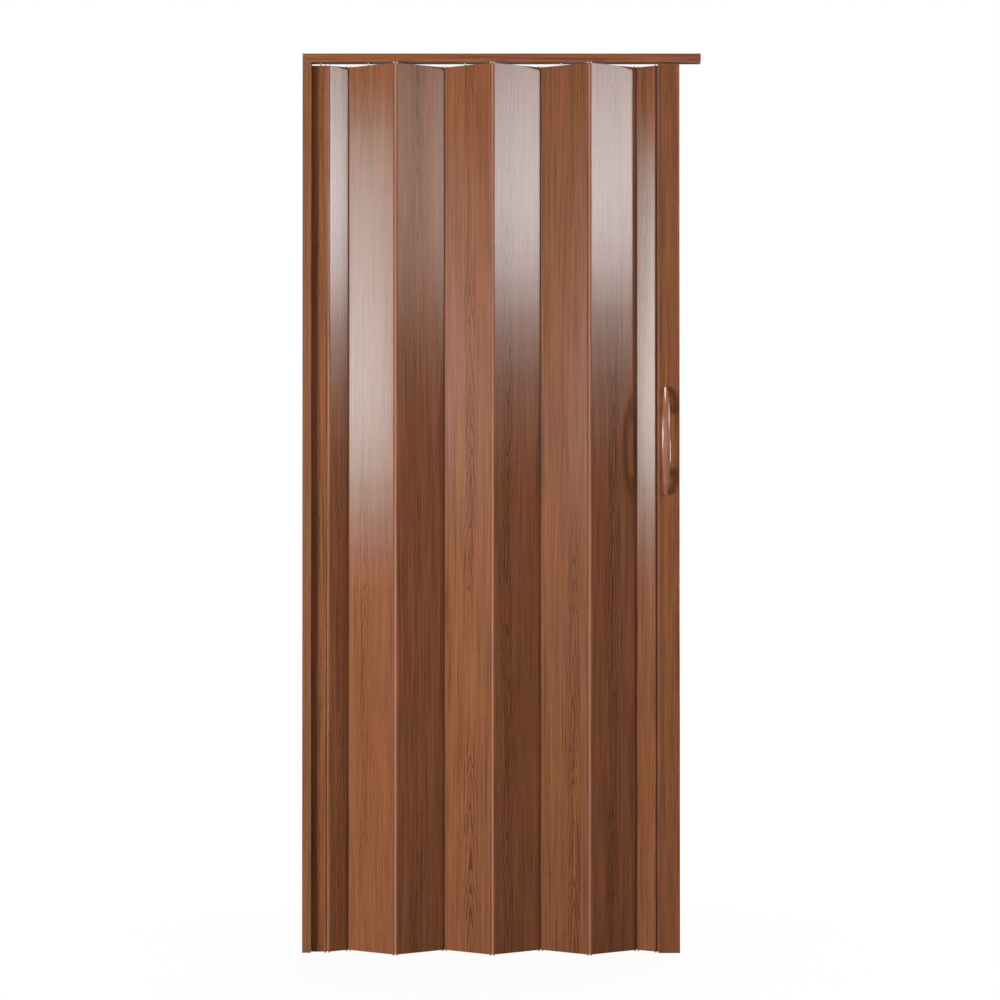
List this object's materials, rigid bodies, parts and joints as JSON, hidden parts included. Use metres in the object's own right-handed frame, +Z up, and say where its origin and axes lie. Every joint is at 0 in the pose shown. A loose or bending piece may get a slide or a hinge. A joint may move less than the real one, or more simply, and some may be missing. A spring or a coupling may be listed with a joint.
{
  "type": "accordion door",
  "caption": "Hanging accordion door of hollow wood-printed PVC slats on bead hinges, with top track, wall jamb, lead post and bow handles.",
  "frame": {"origin": "middle of the track's top face, which is screwed up against the lintel or ceiling", "axes": "+X along the track towards the lead post, -Y to the viewer, +Z up"},
  "size_m": [0.9, 0.095, 2.0325],
  "materials": {
    "wood_print": "satin wood print",
    "track_print": "satin wood print along the track",
    "hinge_strip": "plain soft PVC",
    "cap_plastic": "dark brown",
    "handle_plastic": "gloss brown",
    "nylon": "natural nylon",
    "steel": "zinc plated"
  },
  "bodies": {
    "frame": {"top_track": "track_print", "wall_jamb": "wood_print", "starter_strip": "wood_print", "starter_hinge": "hinge_strip", "starter_plug": "nylon", "starter_pin": "steel", "starter_glider": "nylon"},
    "half_slat_left": {"half_slat_left": "wood_print"},
    "hinge_rear_1": {"hinge_rear_1": "hinge_strip"},
    "slat_1": {"slat_1": "wood_print", "slat_1_plug": "nylon", "slat_1_pin": "steel", "slat_1_glider": "nylon"},
    "hinge_front_1": {"hinge_front_1": "hinge_strip"},
    "slat_2": {"slat_2": "wood_print"},
    "hinge_rear_2": {"hinge_rear_2": "hinge_strip"},
    "slat_3": {"slat_3": "wood_print", "slat_3_plug": "nylon", "slat_3_pin": "steel", "slat_3_glider": "nylon"},
    "hinge_front_2": {"hinge_front_2": "hinge_strip"},
    "slat_4": {"slat_4": "wood_print"},
    "hinge_rear_3": {"hinge_rear_3": "hinge_strip"},
    "slat_5": {"slat_5": "wood_print", "slat_5_plug": "nylon", "slat_5_pin": "steel", "slat_5_glider": "nylon"},
    "hinge_front_3": {"hinge_front_3": "hinge_strip"},
    "slat_6": {"slat_6": "wood_print"},
    "hinge_rear_4": {"hinge_rear_4": "hinge_strip"},
    "half_slat_right": {"half_slat_right": "wood_print"},
    "lead_post": {"lead_post": "wood_print", "post_hinge": "hinge_strip", "post_top_cap": "cap_plastic", "post_bottom_cap": "cap_plastic", "post_pins": "steel", "post_gliders": "nylon", "front_handle": "handle_plastic", "rear_handle": "handle_plastic", "handle_screws": "steel"}
  },
  "joints": [
    {"name": "half_slat_left_bead", "type": "hinge", "parent": "frame", "child": "half_slat_left", "pos_m": [-0.39003, 0.00414, -1.0275], "axis": [0, 0, 1], "range_deg": [-7.6, 57]},
    {"name": "hinge_rear_1_bead", "type": "hinge", "parent": "half_slat_left", "child": "hinge_rear_1", "pos_m": [-0.3521, 0.02604, -1.0275], "axis": [0, 0, 1], "range_deg": [-57, 7.6]},
    {"name": "slat_1_bead", "type": "hinge", "parent": "hinge_rear_1", "child": "slat_1", "pos_m": [-0.3447, 0.02604, -1.0275], "axis": [0, 0, 1], "range_deg": [-57, 7.6]},
    {"name": "hinge_front_1_bead", "type": "hinge", "parent": "slat_1", "child": "hinge_front_1", "pos_m": [-0.24294, -0.03271, -1.0275], "axis": [0, 0, 1], "range_deg": [-7.6, 57]},
    {"name": "slat_2_bead", "type": "hinge", "parent": "hinge_front_1", "child": "slat_2", "pos_m": [-0.23554, -0.03271, -1.0275], "axis": [0, 0, 1], "range_deg": [-7.6, 57]},
    {"name": "hinge_rear_2_bead", "type": "hinge", "parent": "slat_2", "child": "hinge_rear_2", "pos_m": [-0.13378, 0.02604, -1.0275], "axis": [0, 0, 1], "range_deg": [-57, 7.6]},
    {"name": "slat_3_bead", "type": "hinge", "parent": "hinge_rear_2", "child": "slat_3", "pos_m": [-0.12638, 0.02604, -1.0275], "axis": [0, 0, 1], "range_deg": [-57, 7.6]},
    {"name": "hinge_front_2_bead", "type": "hinge", "parent": "slat_3", "child": "hinge_front_2", "pos_m": [-0.02462, -0.03271, -1.0275], "axis": [0, 0, 1], "range_deg": [-7.6, 57]},
    {"name": "slat_4_bead", "type": "hinge", "parent": "hinge_front_2", "child": "slat_4", "pos_m": [-0.01722, -0.03271, -1.0275], "axis": [0, 0, 1], "range_deg": [-7.6, 57]},
    {"name": "hinge_rear_3_bead", "type": "hinge", "parent": "slat_4", "child": "hinge_rear_3", "pos_m": [0.08454, 0.02604, -1.0275], "axis": [0, 0, 1], "range_deg": [-57, 7.6]},
    {"name": "slat_5_bead", "type": "hinge", "parent": "hinge_rear_3", "child": "slat_5", "pos_m": [0.09194, 0.02604, -1.0275], "axis": [0, 0, 1], "range_deg": [-57, 7.6]},
    {"name": "hinge_front_3_bead", "type": "hinge", "parent": "slat_5", "child": "hinge_front_3", "pos_m": [0.19369, -0.03271, -1.0275], "axis": [0, 0, 1], "range_deg": [-7.6, 57]},
    {"name": "slat_6_bead", "type": "hinge", "parent": "hinge_front_3", "child": "slat_6", "pos_m": [0.20109, -0.03271, -1.0275], "axis": [0, 0, 1], "range_deg": [-7.6, 57]},
    {"name": "hinge_rear_4_bead", "type": "hinge", "parent": "slat_6", "child": "hinge_rear_4", "pos_m": [0.30285, 0.02604, -1.0275], "axis": [0, 0, 1], "range_deg": [-57, 7.6]},
    {"name": "half_slat_right_bead", "type": "hinge", "parent": "hinge_rear_4", "child": "half_slat_right", "pos_m": [0.31025, 0.02604, -1.0275], "axis": [0, 0, 1], "range_deg": [-57, 7.6]},
    {"name": "fold", "type": "hinge", "parent": "half_slat_right", "child": "lead_post", "pos_m": [0.34818, 0.00414, -1.0275], "axis": [0, 0, 1], "range_deg": [-7.6, 57]}
  ],
  "couplings": [
    {"joint": "half_slat_left_bead", "follows": "fold", "ratio": 1},
    {"joint": "hinge_rear_1_bead", "follows": "fold", "ratio": -1},
    {"joint": "slat_1_bead", "follows": "fold", "ratio": -1},
    {"joint": "hinge_front_1_bead", "follows": "fold", "ratio": 1},
    {"joint": "slat_2_bead", "follows": "fold", "ratio": 1},
    {"joint": "hinge_rear_2_bead", "follows": "fold", "ratio": -1},
    {"joint": "slat_3_bead", "follows": "fold", "ratio": -1},
    {"joint": "hinge_front_2_bead", "follows": "fold", "ratio": 1},
    {"joint": "slat_4_bead", "follows": "fold", "ratio": 1},
    {"joint": "hinge_rear_3_bead", "follows": "fold", "ratio": -1},
    {"joint": "slat_5_bead", "follows": "fold", "ratio": -1},
    {"joint": "hinge_front_3_bead", "follows": "fold", "ratio": 1},
    {"joint": "slat_6_bead", "follows": "fold", "ratio": 1},
    {"joint": "hinge_rear_4_bead", "follows": "fold", "ratio": -1},
    {"joint": "half_slat_right_bead", "follows": "fold", "ratio": -1}
  ]
}
